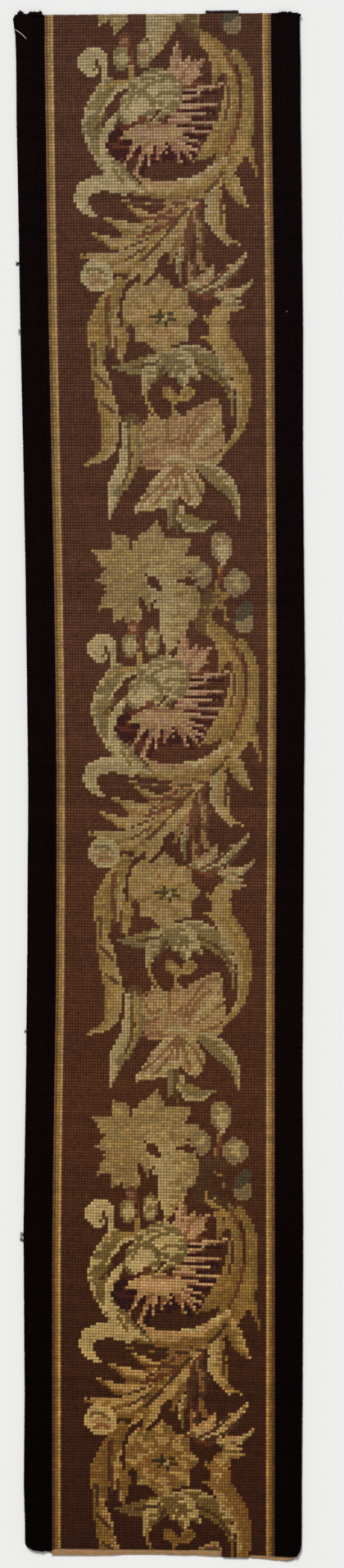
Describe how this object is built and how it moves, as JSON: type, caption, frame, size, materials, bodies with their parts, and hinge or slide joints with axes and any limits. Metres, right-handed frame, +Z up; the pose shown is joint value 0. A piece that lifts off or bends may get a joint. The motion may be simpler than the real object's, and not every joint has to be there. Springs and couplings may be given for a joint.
{
  "type": "needlepoint panel",
  "caption": "Long flat strip of wool needlepoint with an acanthus scroll and flower repeat, gold lines and near-black side bands, lying face up.",
  "frame": {"origin": "on the surface that the strip lies on, under the middle of its box", "axes": "+X across the strip, +Y along it towards its top end, +Z up out of the worked face"},
  "size_m": [0.2544, 1.3442, 0.0036],
  "materials": {
    "ground_wool": "matte",
    "band_wool": "matte",
    "line_wool": "matte",
    "motif_wool": "matte",
    "bare_canvas": "matte"
  },
  "bodies": {
    "root": {"worked_canvas": "ground_wool"}
  },
  "joints": []
}
